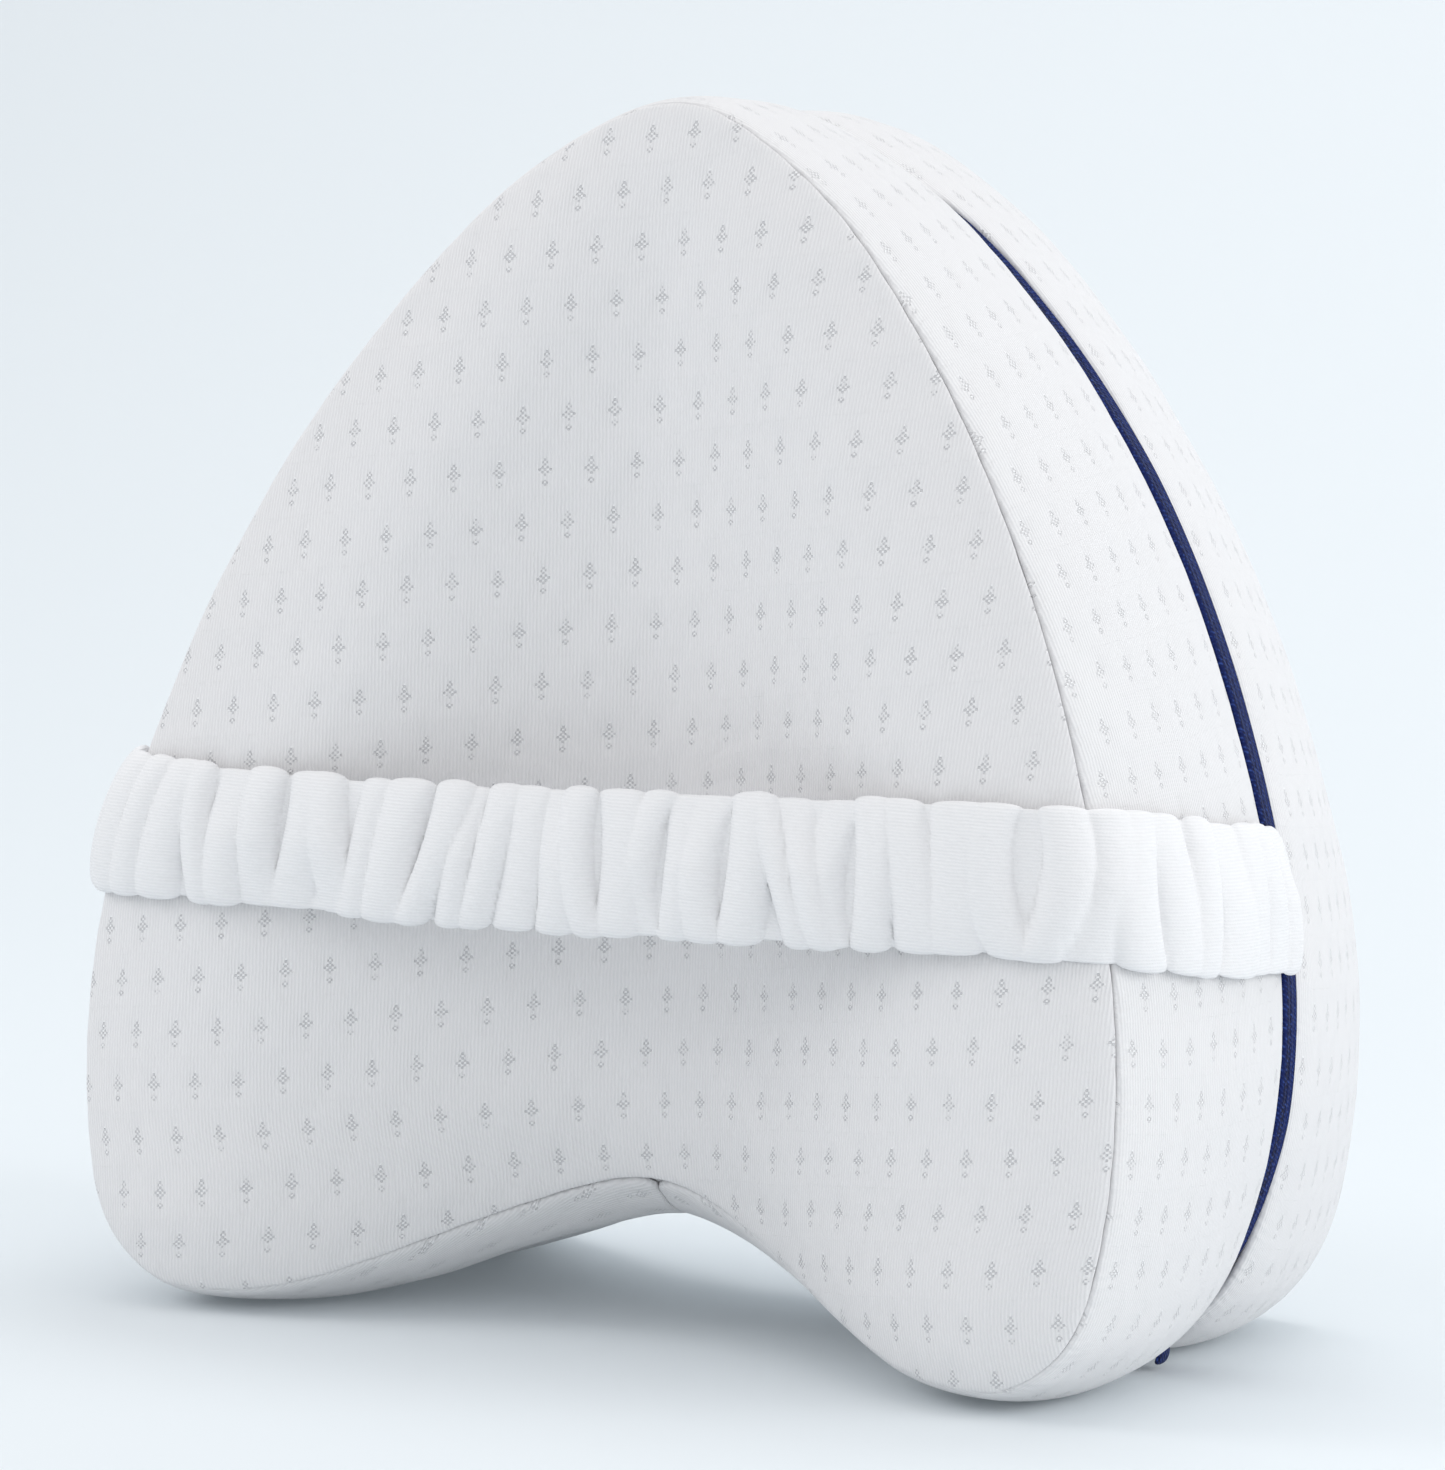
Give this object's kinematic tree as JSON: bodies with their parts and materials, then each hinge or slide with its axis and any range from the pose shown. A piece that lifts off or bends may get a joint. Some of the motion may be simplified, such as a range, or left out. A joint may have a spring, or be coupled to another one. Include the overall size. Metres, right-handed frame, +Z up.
{
  "type": "knee pillow",
  "caption": "Contoured heart-shaped leg pillow with a concave channel in each face, a zipped gusset and a gathered elastic strap; it stands on its two lobes.",
  "frame": {"origin": "on the floor below the middle of the pillow's box", "axes": "+Z up, front face towards -Y, +X to the right seen from the front; the zip runs up the +X side"},
  "size_m": [0.2365, 0.1526, 0.238],
  "materials": {
    "knit_cover": "white jersey knit with small raised dots in staggered rows",
    "strap_knit": "white ribbed sleeve gathered over elastic",
    "navy_tape": "navy woven zip tape with three ribs"
  },
  "bodies": {
    "root": {"pillow": "knit_cover", "gusset_front": "knit_cover", "gusset_back": "knit_cover", "zip_tape": "navy_tape", "zip_tail": "navy_tape", "strap": "strap_knit"}
  },
  "joints": []
}
